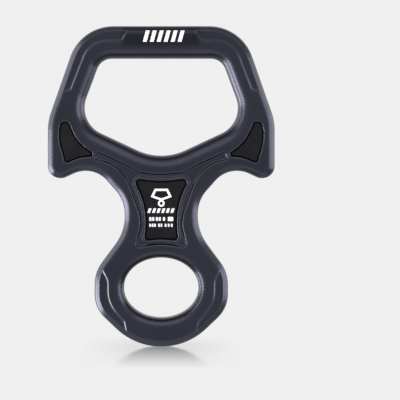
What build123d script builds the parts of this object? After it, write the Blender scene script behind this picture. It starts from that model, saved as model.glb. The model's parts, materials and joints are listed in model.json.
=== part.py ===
from build123d import *
import os

# Rescue figure-8 descender with two ears, hot-forged from aluminium.
# Frame: X across the ears, Y through the thickness (front face towards -Y),
# Z along the descender with the rope eye on top; the origin is the centre of
# the attachment eye. Millimetres.

os.makedirs("parts", exist_ok=True)

# ---------------------------------------------------------------- dimensions
top_z = 92.2                  # flat top of the crossbar
thickness = 13.0
half_t = thickness / 2
ear_reach = 40.0              # half of the width over the ears
ear_shoulder_z = 58.8
ear_tip_z = 36.1
waist_half = 12.9
ring_half = 23.5

eye_half_width = 13.2         # attachment eye, an ellipse lying on its side
eye_half_height = 10.6

outer_round = 3.5             # forged rounding of the outside edges
rope_eye_round = 5.2          # generous rounding where the rope runs
eye_round = 3.8               # rounding where the connector sits

web_depth = 1.2               # recessed web between saddle, waist and ring
web_round = 0.55
web_foot = 0.5
lip_top_depth = 0.3           # raised lip round the label pocket
lip_width = 1.15
lip_round = 0.5
badge_floor_depth = 1.7
ear_floor_depth = 1.3
ear_rim_round = 0.4
facet_depth = 0.5             # shallow facets on the corners and on the ring
facet_slope = 0.35

film = 0.15                   # adhesive under the inlays
badge_thickness = 0.8
ear_inlay_thickness = 0.85
inlay_gap = 0.5               # all round, between an inlay and its pocket
inlay_edge = 0.25
badge_corner = 1.5

# Corner points (x, z, corner radius) of the right-hand half, listed clockwise.
outer_corners = [
    (28.3, top_z, 16.0),
    (ear_reach, ear_shoulder_z, 20.0),
    (ear_reach, ear_tip_z, 4.4),
    (24.2, 43.45, 10.2),
    (waist_half, 30.75, 12.3),
    (waist_half, 19.8, 16.5),
    (ring_half, 5.5, 13.0),
    (ring_half, -7.2, 11.5),
    (0.0, -29.55, 23.0),
]
rope_eye_corners = [
    (21.3, 80.9, 5.5),
    (29.7, 58.4, 10.0),
    (0.0, 44.5, 20.0),
]
web_corners = [
    (0.0, 39.8, 25.0),
    (8.0, 40.7, 1.6),
    (12.2, 43.1, 12.0),
    (22.4, 47.8, 0.8),
    (23.5, 45.3, 0.8),
    (13.9, 43.1, 13.5),
    (6.8, 23.6, 12.0),
    (9.2, 14.1, 1.2),
    (0.0, 15.7, 25.0),
]
ear_corners = [
    (34.5, 62.8, 1.8),
    (36.3, 53.0, 14.0),
    (33.8, 43.7, 1.1),
    (28.3, 46.0, 12.0),
    (22.4, 46.2, 0.9),
    (29.5, 51.3, 14.0),
]
corner_facet = [
    (10.4, 93.4, 0.0),
    (14.1, 87.1, 0.8),
    (25.4, 86.9, 9.0),
    (32.0, 69.9, 0.4),
    (42.0, 67.5, 0.0),
    (42.0, 93.4, 0.0),
]
ring_facet = [
    (23.2, 10.6, 0.0),
    (18.9, 2.6, 5.0),
    (18.9, -5.4, 12.0),
    (13.1, -12.0, 0.6),
    (11.6, -19.5, 0.0),
    (26.0, -19.5, 0.0),
    (26.0, 10.6, 0.0),
]

front_face = Plane.XZ.offset(half_t)


def both_sides(right_half):
    """Close a right-hand list of corners with its mirror image."""
    left_half = [(-x, z, r) for x, z, r in reversed(right_half) if x > 0]
    return right_half + left_half


def rounded_outline(corners):
    """Closed outline through the corners, each rounded by its own radius."""
    points = [(x, z) for x, z, r in corners]
    radii = [r for x, z, r in corners]
    FilletPolyline(*points, radius=radii, close=True)


def badge_shape(plane, grow):
    """Hourglass of the waist label, its sides slightly bowed, grown all round."""
    with BuildSketch(plane) as shape:
        with BuildLine():
            ThreePointArc((-10.6, 39.0), (0, 37.6), (10.6, 39.0))
            ThreePointArc((10.6, 39.0), (5.5, 24.4), (6.3, 16.3))
            ThreePointArc((6.3, 16.3), (0, 17.1), (-6.3, 16.3))
            ThreePointArc((-6.3, 16.3), (-5.5, 24.4), (-10.6, 39.0))
        make_face()
        if grow:
            offset(amount=grow, kind=Kind.INTERSECTION)
        fillet(vertices(), radius=badge_corner + grow)
    return shape.sketch


def right_ear_shape(plane, grow):
    """Curved triangle of the right ear, grown all round."""
    with BuildSketch(plane) as shape:
        with BuildLine():
            Polyline(*[(x, z) for x, z, r in ear_corners], close=True)
        make_face()
        if grow:
            offset(amount=grow, kind=Kind.INTERSECTION)
        for x, z, r in ear_corners:
            nearest = vertices().sort_by_distance((x, z))[0]
            fillet(nearest, radius=r + grow)
    return shape.sketch


def lying_on(candidates, outline):
    """Those edges whose middle lies on the given outline."""
    return [e for e in candidates if outline.distance_to(e @ 0.5) < 0.01]


def flat_at(candidates, depth):
    """The flat face that lies this deep below the front face."""
    level = depth - half_t
    flats = [f for f in candidates.filter_by(Axis.Y) if abs(f.center().Y - level) < 0.01]
    return flats[0]


# ------------------------------------------------------------ relief outlines
with BuildSketch(front_face) as web_shape:
    with BuildLine():
        rounded_outline(both_sides(web_corners))
    make_face()

badge_pocket = badge_shape(front_face, 0)
right_ear_pocket = right_ear_shape(front_face, 0)
left_ear_pocket = mirror(right_ear_pocket, about=Plane.YZ)

with BuildSketch(front_face) as facets:
    for corners in (corner_facet, ring_facet):
        with BuildLine():
            rounded_outline(corners)
        make_face()
    mirror(about=Plane.YZ)


# -------------------------------------------------------------- forged body
# Only the front half is drawn; the rear half of the forging is its mirror.
with BuildPart() as forged_body:
    with BuildSketch(Plane.XZ):
        with BuildLine():
            rounded_outline(both_sides(outer_corners))
        make_face()
        with BuildLine():
            rounded_outline(both_sides(rope_eye_corners))
        make_face(mode=Mode.SUBTRACT)
        Ellipse(eye_half_width, eye_half_height, mode=Mode.SUBTRACT)
    extrude(amount=half_t)

    # forged rounding of the outside, the rope eye and the attachment eye
    land = faces().sort_by(Axis.Y)[0]
    eye_loop, rope_loop = land.inner_wires().sort_by(Axis.Z)
    fillet(land.outer_wire().edges(), radius=outer_round)
    fillet(rope_loop.edges(), radius=rope_eye_round)
    fillet(eye_loop.edges(), radius=eye_round)

    # recessed web, soft at its edge and at its foot
    extrude(web_shape.sketch, amount=-web_depth, mode=Mode.SUBTRACT)
    fillet(lying_on(edges(), web_shape.sketch.face().outer_wire()), radius=web_round)
    fillet(flat_at(faces(), web_depth).outer_wire().edges(), radius=web_foot)

    # raised lip and the pocket inside it
    lip = badge_shape(front_face.offset(-web_depth), lip_width)
    extrude(lip, amount=web_depth - lip_top_depth)
    fillet(flat_at(faces(), lip_top_depth).outer_wire().edges(), radius=lip_round)
    extrude(badge_pocket, amount=-badge_floor_depth, mode=Mode.SUBTRACT)
    fillet(flat_at(faces(), lip_top_depth).inner_wires().edges(), radius=lip_round)

    # pockets of the ear inlays
    for pocket in (right_ear_pocket, left_ear_pocket):
        extrude(pocket, amount=-ear_floor_depth, mode=Mode.SUBTRACT)
        fillet(lying_on(edges(), pocket.face().outer_wire()), radius=ear_rim_round)

    # shallow facets that run out over the outside rounding
    extrude(facets.sketch, amount=-facet_depth, mode=Mode.SUBTRACT)
    for facet in facets.sketch.faces():
        chamfer(lying_on(edges(), facet.outer_wire()), length=facet_slope)

    mirror(about=Plane.XZ)

forged_body.part.label = "forged_body"
export_step(forged_body.part, "parts/forged_body.step")


# ------------------------------------------------- label inlays at the waist
with BuildPart() as front_badge_film:
    footprint = badge_shape(front_face.offset(-badge_floor_depth), -inlay_gap)
    extrude(footprint, amount=film)

with BuildPart() as front_badge:
    footprint = badge_shape(front_face.offset(film - badge_floor_depth), -inlay_gap)
    extrude(footprint, amount=badge_thickness)
    fillet(faces().sort_by(Axis.Y)[0].edges(), radius=inlay_edge)

with BuildPart() as rear_badge_film:
    mirror(front_badge_film.part, about=Plane.XZ)

with BuildPart() as rear_badge:
    mirror(front_badge.part, about=Plane.XZ)


# ------------------------------------------------------- inlays in the ears
with BuildPart() as front_right_ear_film:
    footprint = right_ear_shape(front_face.offset(-ear_floor_depth), -inlay_gap)
    extrude(footprint, amount=film)

with BuildPart() as front_right_ear_inlay:
    footprint = right_ear_shape(front_face.offset(film - ear_floor_depth), -inlay_gap)
    extrude(footprint, amount=ear_inlay_thickness)
    fillet(faces().sort_by(Axis.Y)[0].edges(), radius=inlay_edge)

with BuildPart() as front_left_ear_film:
    mirror(front_right_ear_film.part, about=Plane.YZ)

with BuildPart() as front_left_ear_inlay:
    mirror(front_right_ear_inlay.part, about=Plane.YZ)

with BuildPart() as rear_right_ear_film:
    mirror(front_right_ear_film.part, about=Plane.XZ)

with BuildPart() as rear_right_ear_inlay:
    mirror(front_right_ear_inlay.part, about=Plane.XZ)

with BuildPart() as rear_left_ear_film:
    mirror(front_left_ear_film.part, about=Plane.XZ)

with BuildPart() as rear_left_ear_inlay:
    mirror(front_left_ear_inlay.part, about=Plane.XZ)

small_pieces = {
    "front_badge": front_badge,
    "rear_badge": rear_badge,
    "front_left_ear_inlay": front_left_ear_inlay,
    "front_right_ear_inlay": front_right_ear_inlay,
    "rear_left_ear_inlay": rear_left_ear_inlay,
    "rear_right_ear_inlay": rear_right_ear_inlay,
    "front_badge_film": front_badge_film,
    "rear_badge_film": rear_badge_film,
    "front_left_ear_film": front_left_ear_film,
    "front_right_ear_film": front_right_ear_film,
    "rear_left_ear_film": rear_left_ear_film,
    "rear_right_ear_film": rear_right_ear_film,
}
for name, piece in small_pieces.items():
    piece.part.label = name
    export_step(piece.part, f"parts/{name}.step")
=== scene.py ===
import json
import math

import bmesh
import bpy
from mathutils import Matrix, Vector
from mathutils.bvhtree import BVHTree


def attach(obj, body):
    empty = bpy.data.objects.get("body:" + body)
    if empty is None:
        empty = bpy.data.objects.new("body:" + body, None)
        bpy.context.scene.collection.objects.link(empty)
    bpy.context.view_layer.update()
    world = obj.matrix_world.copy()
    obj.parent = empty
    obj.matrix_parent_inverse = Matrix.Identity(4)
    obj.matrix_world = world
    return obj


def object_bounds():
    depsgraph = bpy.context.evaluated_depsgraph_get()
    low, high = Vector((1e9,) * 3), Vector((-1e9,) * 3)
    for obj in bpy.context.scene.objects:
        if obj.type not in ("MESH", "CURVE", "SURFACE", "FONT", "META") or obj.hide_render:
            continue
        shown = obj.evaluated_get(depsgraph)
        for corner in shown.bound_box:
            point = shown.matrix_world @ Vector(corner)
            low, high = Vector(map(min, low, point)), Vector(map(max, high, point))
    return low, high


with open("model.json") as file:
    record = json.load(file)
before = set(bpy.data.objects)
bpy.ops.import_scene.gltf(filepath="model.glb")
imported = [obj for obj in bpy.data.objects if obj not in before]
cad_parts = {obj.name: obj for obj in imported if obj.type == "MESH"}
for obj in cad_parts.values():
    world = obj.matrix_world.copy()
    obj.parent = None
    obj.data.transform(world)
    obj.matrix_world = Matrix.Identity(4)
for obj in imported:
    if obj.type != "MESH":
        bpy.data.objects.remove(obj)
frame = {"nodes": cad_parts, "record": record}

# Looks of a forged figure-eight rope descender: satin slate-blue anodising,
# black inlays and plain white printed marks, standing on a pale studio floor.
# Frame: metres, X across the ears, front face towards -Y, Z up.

MM = 0.001
cad_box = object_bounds()
low, high = (Vector(corner) for corner in cad_box)
middle = (low + high) / 2
body = frame["nodes"]["forged_body"]


# ------------------------------------------------------------------ materials
# Linear colours.
SLATE = (0.060, 0.063, 0.084)
SLATE_LIGHTER = (0.070, 0.073, 0.098)
SLATE_CLOUD = (0.056, 0.057, 0.072)
SLATE_GRAIN = (0.10, 0.104, 0.13)
# Darker slate over the crossbar's upper middle: painted shade.
CROSSBAR_SHADE = (0.030, 0.031, 0.040)
# Lighter slate for edges: painted highlight, along with wear.
EDGE_WEAR_AND_HIGHLIGHT = (0.20, 0.205, 0.24)
# Near black for the pockets' floors and lower walls: painted shade.
POCKET_SHADE = (0.010, 0.010, 0.012)
BLACK = (0.005, 0.005, 0.007)
BLACK_CLOUD = (0.009, 0.009, 0.011)
# Lighter black for the inlays' edges: painted highlight.
BLACK_EDGE_HIGHLIGHT = (0.05, 0.05, 0.056)
GLUE_DARK = (0.30, 0.28, 0.23)
GLUE_LIGHT = (0.40, 0.38, 0.32)
WHITE_DARK = (0.80, 0.80, 0.81)
WHITE_LIGHT = (0.90, 0.90, 0.90)
SWEEP_DARK = (0.860, 0.860, 0.860)
SWEEP_LIGHT = (0.872, 0.872, 0.872)


class Nodes:
    """A small helper that adds and links shader nodes in one material."""

    def __init__(self, name):
        self.material = bpy.data.materials.new(name)
        self.material.use_nodes = True
        self.tree = self.material.node_tree
        self.tree.nodes.clear()
        self.output = self.add("ShaderNodeOutputMaterial")
        self.shader = self.add("ShaderNodeBsdfPrincipled")
        self.link(self.shader.outputs["BSDF"], self.output.inputs["Surface"])
        self.place = self.add("ShaderNodeTexCoord").outputs["Object"]

    def add(self, kind, **settings):
        node = self.tree.nodes.new(kind)
        for key, value in settings.items():
            setattr(node, key, value)
        return node

    def link(self, source, target):
        self.tree.links.new(source, target)

    def noise(self, cell_mm, detail):
        """Noise whose cells are about this many millimetres across."""
        node = self.add("ShaderNodeTexNoise")
        node.inputs["Scale"].default_value = 1 / (cell_mm * MM)
        node.inputs["Detail"].default_value = detail
        node.inputs["Roughness"].default_value = 0.55
        self.link(self.place, node.inputs["Vector"])
        return node.outputs["Fac"]

    def span(self, value, from_low, from_high, to_low, to_high):
        """Maps one range of a value onto another, clamped."""
        node = self.add("ShaderNodeMapRange")
        for key, number in (("From Min", from_low), ("From Max", from_high),
                            ("To Min", to_low), ("To Max", to_high)):
            node.inputs[key].default_value = number
        self.link(value, node.inputs["Value"])
        return node.outputs["Result"]

    def rise(self, value, start_mm, end_mm):
        """Zero up to the first place and one from the second."""
        return self.span(value, start_mm * MM, end_mm * MM, 0, 1)

    def fall(self, value, start_mm, end_mm):
        """One up to the first place and zero from the second."""
        return self.span(value, start_mm * MM, end_mm * MM, 1, 0)

    def math(self, operation, first, second):
        node = self.add("ShaderNodeMath", operation=operation)
        for socket, value in zip(node.inputs, (first, second)):
            if isinstance(value, (int, float)):
                socket.default_value = value
            else:
                self.link(value, socket)
        return node.outputs["Value"]

    def product(self, first, *others):
        for value in others:
            first = self.math("MULTIPLY", first, value)
        return first

    def blend(self, factor, first, second):
        """Mixes two colours, each a tuple or a socket."""
        node = self.add("ShaderNodeMix", data_type="RGBA")
        self.link(factor, node.inputs["Factor"])
        for index, value in ((6, first), (7, second)):
            if isinstance(value, tuple):
                node.inputs[index].default_value = (*value, 1)
            else:
                self.link(value, node.inputs[index])
        return node.outputs[2]

    def bump(self, height_value, depth_mm):
        node = self.add("ShaderNodeBump")
        node.inputs["Distance"].default_value = depth_mm * MM
        self.link(height_value, node.inputs["Height"])
        return node.outputs["Normal"]

    def axis(self, letter):
        """One coordinate of the place on the object, in metres."""
        node = self.add("ShaderNodeSeparateXYZ")
        self.link(self.place, node.inputs["Vector"])
        return node.outputs[letter]

    def off_centre(self, letter):
        """The same coordinate without its sign."""
        return self.math("ABSOLUTE", self.axis(letter), 0)

    def edge_mask(self, radius_mm):
        """One on crisp convex or concave edges, zero on broad surfaces."""
        bevel = self.add("ShaderNodeBevel", samples=6)
        bevel.inputs["Radius"].default_value = radius_mm * MM
        plain = self.add("ShaderNodeNewGeometry").outputs["Normal"]
        product = self.add("ShaderNodeVectorMath", operation="DOT_PRODUCT")
        self.link(bevel.outputs["Normal"], product.inputs[0])
        self.link(plain, product.inputs[1])
        return self.span(product.outputs["Value"], 0.997, 0.95, 0.0, 1.0)


def pocket_shade_mask(n):
    """Painted shade: one in the label and ear pockets, on their floors and lower walls.

    It goes by position alone, in the millimetres of the CAD, on both faces.
    """
    x, y, z = n.off_centre("X"), n.off_centre("Y"), n.axis("Z")
    over_slant = n.math("SUBTRACT", z, n.math("MULTIPLY", x, 0.95))
    ear = n.product(n.rise(x, 23.3, 23.5), n.fall(x, 36.8, 37.0),
                    n.rise(z, 43.4, 43.6), n.fall(over_slant, 28.3, 28.6),
                    n.fall(y, 5.9, 6.1))
    label = n.product(n.fall(x, 11.0, 11.2), n.fall(y, 5.2, 5.28),
                      n.rise(z, 15.0, 15.2), n.fall(z, 40.0, 40.2))
    return n.math("MAXIMUM", ear, label)


def crossbar_shade_mask(n):
    """Three quarters of painted shade on the middle of the crossbar, all the way round it.

    It goes by position alone, and fades out at its sides and lower edge.
    """
    across = n.fall(n.off_centre("X"), 12.5, 14.5)
    up = n.span(n.axis("Z"), 84.3 * MM, 86.0 * MM, 0, 0.75)
    return n.product(across, up)


def anodised_body():
    """Satin anodising; its lighter edges are painted highlight along with wear, and its
    darker crossbar middle and pockets are painted shade. Satin anodising with worn
    edges; the dark pad and pockets are a guess.
    """
    n = Nodes("anodised_body")
    broad = n.noise(28, detail=2)
    cloud = n.noise(5, detail=5)
    grain = n.noise(0.35, detail=3)
    slate = n.blend(n.span(broad, 0.35, 0.65, 0, 1), SLATE, SLATE_LIGHTER)
    slate = n.blend(n.span(cloud, 0.4, 0.75, 0, 0.5), slate, SLATE_CLOUD)
    slate = n.blend(n.span(grain, 0.55, 0.85, 0, 0.4), slate, SLATE_GRAIN)
    # The upper middle of the crossbar is darkened: painted shade.
    slate = n.blend(crossbar_shade_mask(n), slate, CROSSBAR_SHADE)
    # Edges are lightened: painted highlight, along with wear.
    edge_wear_and_highlight = n.product(n.edge_mask(0.8), n.span(cloud, 0.35, 0.6, 0.35, 0.8))
    slate = n.blend(edge_wear_and_highlight, slate, EDGE_WEAR_AND_HIGHLIGHT)
    # The pockets' floors and lower walls are darkened to near black: painted shade.
    slate = n.blend(pocket_shade_mask(n), slate, POCKET_SHADE)
    n.link(slate, n.shader.inputs["Base Color"])
    n.shader.inputs["Metallic"].default_value = 1.0
    n.link(n.span(cloud, 0.3, 0.7, 0.26, 0.33), n.shader.inputs["Roughness"])
    n.link(n.bump(grain, 0.010), n.shader.inputs["Normal"])
    return n.material


def black_plastic(name, roughness, grain_mm, depth_mm):
    n = Nodes(name)
    cloud = n.noise(4, detail=4)
    grain = n.noise(grain_mm, detail=2)
    black = n.blend(n.span(cloud, 0.35, 0.7, 0, 1), BLACK, BLACK_CLOUD)
    # The inlays' edges are lightened: painted highlight.
    black = n.blend(n.product(n.edge_mask(0.2), 0.35), black, BLACK_EDGE_HIGHLIGHT)
    n.link(black, n.shader.inputs["Base Color"])
    n.shader.inputs["Specular IOR Level"].default_value = 0.22
    n.link(n.span(grain, 0.3, 0.7, roughness - 0.05, roughness + 0.06),
           n.shader.inputs["Roughness"])
    n.link(n.bump(grain, depth_mm), n.shader.inputs["Normal"])
    return n.material


def adhesive():
    n = Nodes("adhesive")
    cloud = n.noise(1.5, detail=3)
    n.link(n.blend(cloud, GLUE_DARK, GLUE_LIGHT), n.shader.inputs["Base Color"])
    n.link(n.span(cloud, 0.3, 0.7, 0.45, 0.6), n.shader.inputs["Roughness"])
    n.link(n.bump(cloud, 0.01), n.shader.inputs["Normal"])
    return n.material


def white_ink():
    n = Nodes("white_ink")
    speck = n.noise(0.12, detail=2)
    cloud = n.noise(1.2, detail=3)
    white = n.blend(n.span(cloud, 0.3, 0.7, 0, 1), WHITE_DARK, WHITE_LIGHT)
    n.link(white, n.shader.inputs["Base Color"])
    n.link(n.span(speck, 0.3, 0.7, 0.45, 0.6), n.shader.inputs["Roughness"])
    n.link(n.bump(speck, 0.004), n.shader.inputs["Normal"])
    return n.material


def pale_sweep():
    """A white sweep that glows evenly, glossy only where the object stands."""
    n = Nodes("pale_sweep")
    cloud = n.noise(120, detail=2)
    glow = n.add("ShaderNodeEmission")
    n.link(n.blend(cloud, SWEEP_DARK, SWEEP_LIGHT), glow.inputs["Color"])
    gloss = n.add("ShaderNodeBsdfGlossy")
    gloss.inputs["Roughness"].default_value = 0.08
    y = n.axis("Y")
    patch = n.product(n.rise(y, -110, -10), n.fall(y, 10, 60),
                      n.fall(n.off_centre("X"), 10, 28))
    grazing = n.add("ShaderNodeFresnel")
    grazing.inputs["IOR"].default_value = 2.2
    mix = n.add("ShaderNodeMixShader")
    n.link(n.product(patch, grazing.outputs["Fac"]), mix.inputs[0])
    n.link(glow.outputs["Emission"], mix.inputs[1])
    n.link(gloss.outputs["BSDF"], mix.inputs[2])
    n.link(mix.outputs["Shader"], n.output.inputs["Surface"])
    return n.material


def paint(obj, material):
    obj.data.materials.clear()
    obj.data.materials.append(material)


finishes = {
    "anodised_body": anodised_body(),
    "badge_black": black_plastic("badge_black", 0.32, 0.3, 0.004),
    "ear_inlay_black": black_plastic("ear_inlay_black", 0.42, 0.18, 0.008),
    "adhesive": adhesive(),
    "print_white": white_ink(),
}
for part in frame["record"]["subparts"]:
    paint(frame["nodes"][part["node"]], finishes[part["material_slot"]])


# -------------------------------------------------------------- printed marks
INK = 0.015 * MM              # ink above the surface, and as much below it
LONGEST_EDGE = 0.8 * MM       # longer edges of a mark are cut, to follow the surface
MOST_CUTS = 4                 # how many times that is done at most
AHEAD = 0.01                  # the rays start this far ahead of the CAD box


def surface_tree(obj):
    mesh = obj.data
    points = [v.co.copy() for v in mesh.vertices]
    faces = [tuple(p.vertices) for p in mesh.polygons]
    return BVHTree.FromPolygons(points, faces)


def print_marks(name, outlines, target):
    """Lays closed outlines (x, z in mm) on the front of a piece, as thin ink."""
    tree = surface_tree(target)
    mesh = bpy.data.meshes.new(name)
    bm = bmesh.new()
    for outline in outlines:
        ring = [bm.verts.new((x * MM, 0, z * MM)) for x, z in outline]
        bm.faces.new(ring)
    bmesh.ops.remove_doubles(bm, verts=bm.verts[:], dist=0.001 * MM)
    bmesh.ops.triangulate(bm, faces=bm.faces[:])
    for _ in range(MOST_CUTS):
        long_edges = [e for e in bm.edges if e.calc_length() > LONGEST_EDGE]
        if not long_edges:
            break
        bmesh.ops.subdivide_edges(bm, edges=long_edges, cuts=1)
        bmesh.ops.triangulate(bm, faces=bm.faces[:])
    to_the_rear = Vector((0, 1, 0))
    for v in bm.verts:
        start = Vector((v.co.x, low.y - AHEAD, v.co.z))
        v.co.y = tree.ray_cast(start, to_the_rear)[0].y - INK
    underside = bmesh.ops.extrude_face_region(bm, geom=bm.faces[:])
    for item in underside["geom"]:
        if isinstance(item, bmesh.types.BMVert):
            item.co.y += 2 * INK
    bmesh.ops.recalc_face_normals(bm, faces=bm.faces[:])
    bm.to_mesh(mesh)
    bm.free()
    piece = bpy.data.objects.new(name, mesh)
    bpy.context.scene.collection.objects.link(piece)
    paint(piece, finishes["print_white"])
    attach(piece, "root")


def rounded_bar(x0, x1, z0, z1, radius, turn=8):
    """Outline of an upright rectangle with round corners."""
    points = []
    corners = ((x1 - radius, z1 - radius, 0), (x0 + radius, z1 - radius, 90),
               (x0 + radius, z0 + radius, 180), (x1 - radius, z0 + radius, 270))
    for cx, cz, start in corners:
        for k in range(turn + 1):
            angle = math.radians(start + 90 * k / turn)
            points.append((cx + radius * math.cos(angle), cz + radius * math.sin(angle)))
    return points


def dashes(starts, width, z0, z1, radius):
    """A row of equal rounded bars."""
    return [rounded_bar(x, x + width, z0, z1, radius) for x in starts]


def arc_segment(cx, cz, inner, outer, start, end, turn=24):
    """Outline of a piece of a flat ring between two angles in degrees."""
    angles = [math.radians(start + (end - start) * k / turn) for k in range(turn + 1)]
    out = [(cx + outer * math.cos(a), cz + outer * math.sin(a)) for a in angles]
    back = [(cx + inner * math.cos(a), cz + inner * math.sin(a))
            for a in reversed(angles)]
    return out + back


def strokes(x, pitch, count, width, z0, z1, lean):
    """A row of equal strokes that lean to the right, the first from x."""
    row = []
    for k in range(count):
        left = x + pitch * k
        row.append([(left, z0), (left + width, z0),
                    (left + width + lean, z1), (left + lean, z1)])
    return row


def frame_sides(outer, inner):
    """A closed flat frame as one outline per side."""
    return [[outer[k - 1], outer[k], inner[k], inner[k - 1]]
            for k in range(len(outer))]


crossbar_z = high.z / MM - 3.7
print_marks("crossbar_print",
            strokes(-6.5, 2.45, 6, 1.35, crossbar_z - 2.0, crossbar_z + 2.0, 1.1),
            body)

badge = frame["nodes"]["front_badge"]
symbol = frame_sides([(-2.3, 34.9), (2.3, 34.9), (3.7, 32.0), (0, 30.7), (-3.7, 32.0)],
                     [(-1.8, 34.1), (1.8, 34.1), (2.6, 32.4), (0, 31.5), (-2.6, 32.4)])
for half in (0, 180):
    symbol.append(arc_segment(0, 29.75, 0.55, 1.2, half, half + 180))
print_marks("badge_symbol", symbol, badge)

lines = strokes(-4.9, 1.62, 6, 0.95, 26.4, 28.0, 0.55)
lines += dashes((-4.2, -3.2, -1.9, -0.9, 0.6), 0.75, 23.6, 24.9, 0.15)
lines += [rounded_bar(2.3, 4.2, 23.5, 25.0, 0.2)]
lines += dashes((-4.2, -3.35, -2.5, -1.1, -0.25, 1.2, 2.3, 3.4), 0.6, 21.5, 22.6, 0.15)
print_marks("badge_lines", lines, badge)


# ------------------------------------------------------------ floor and light
SWEEP_REACH = 2.5             # half of the width of the sweep
SWEEP_FRONT = -3.0
SWEEP_BACK = 0.9              # where the floor starts to curve up
SWEEP_BEND = 0.5              # radius of that curve
SWEEP_TOP = 2.5
BEND_STEPS = 12


def sweep(name, profile, material, seen_in_gloss):
    """One stretch of the studio sweep, from its profile of (y, z) points.

    It casts no shadow, so lights that reach below the floor shine through it.
    """
    mesh = bpy.data.meshes.new(name)
    bm = bmesh.new()
    rows = [[bm.verts.new((x, y, z + low.z)) for x in (-SWEEP_REACH, SWEEP_REACH)]
            for y, z in profile]
    for first, second in zip(rows, rows[1:]):
        bm.faces.new((first[0], first[1], second[1], second[0]))
    bm.to_mesh(mesh)
    bm.free()
    for p in mesh.polygons:
        p.use_smooth = True
    piece = bpy.data.objects.new(name, mesh)
    bpy.context.scene.collection.objects.link(piece)
    paint(piece, material)
    piece.visible_glossy = seen_in_gloss
    piece.visible_shadow = False


sweep_finish = pale_sweep()
curve = []
for k in range(BEND_STEPS + 1):
    angle = math.radians(90 * k / BEND_STEPS)
    curve.append((SWEEP_BACK + SWEEP_BEND * math.sin(angle),
                  SWEEP_BEND * (1 - math.cos(angle))))
wall_top = (SWEEP_BACK + SWEEP_BEND, SWEEP_TOP)
sweep("studio_floor", [(SWEEP_FRONT, 0.0), (SWEEP_BACK, 0.0)], sweep_finish, False)
sweep("studio_backdrop", curve + [wall_top], sweep_finish, True)

NEUTRAL = (1, 1, 1)
WARM = (1.0, 0.98, 0.97)


def softbox(name, place, width, tall, watts, tint):
    """A rectangular light that faces the middle of the object."""
    data = bpy.data.lights.new(name, "AREA")
    data.shape = "RECTANGLE"
    data.size = width
    data.size_y = tall
    data.energy = watts
    data.color = tint
    light = bpy.data.objects.new(name, data)
    light.location = place
    towards_object = middle - Vector(place)
    light.rotation_euler = towards_object.to_track_quat("-Z", "Y").to_euler()
    bpy.context.scene.collection.objects.link(light)
    return light


softbox("left_softbox", (-0.42, 0.05, -0.10), 0.50, 0.34, 3.6, WARM)
softbox("left_upper", (-0.40, 0.03, 0.22), 0.50, 0.30, 0.9, WARM)
softbox("right_softbox", (0.55, 0.0, 0.08), 0.77, 0.40, 2.3, NEUTRAL)
softbox("front_top_light", (0.0, -0.38, 0.48), 0.6, 0.40, 0.55, NEUTRAL)
softbox("low_fill", (0.0, -0.10, -0.40), 0.6, 0.5, 0.28, NEUTRAL)
front_wash = softbox("front_wash", (0, -2.5, 1.6), 2.4, 1.6, 45, NEUTRAL)
front_wash.visible_glossy = False

world = bpy.data.worlds.new("studio")
world.use_nodes = True
background = world.node_tree.nodes["Background"]
background.inputs["Color"].default_value = (0.96, 0.97, 1.0, 1)
background.inputs["Strength"].default_value = 0.5
bpy.context.scene.world = world
bpy.context.scene.view_settings.view_transform = "Standard"
bpy.context.scene.view_settings.look = "None"


# --------------------------------------------------------------------- camera
FRAME_WIDTH = 0.1415          # width of the view where the object stands
DISTANCE = 0.9
SENSOR = 36                   # in millimetres, like the focal length
VIEW_RIGHT = 0.0137           # how far the view is moved off the object's middle
VIEW_DOWN = 0.0048
FARTHEST = 20

camera_data = bpy.data.cameras.new("camera")
camera_data.sensor_width = SENSOR
camera_data.lens = SENSOR * DISTANCE / FRAME_WIDTH
camera_data.shift_x = VIEW_RIGHT / FRAME_WIDTH
camera_data.shift_y = -VIEW_DOWN / FRAME_WIDTH
camera_data.clip_end = FARTHEST
camera = bpy.data.objects.new("camera", camera_data)
camera.location = (0, -DISTANCE, middle.z)
camera.rotation_euler = (math.radians(90), 0, 0)
bpy.context.scene.collection.objects.link(camera)
bpy.context.scene.camera = camera
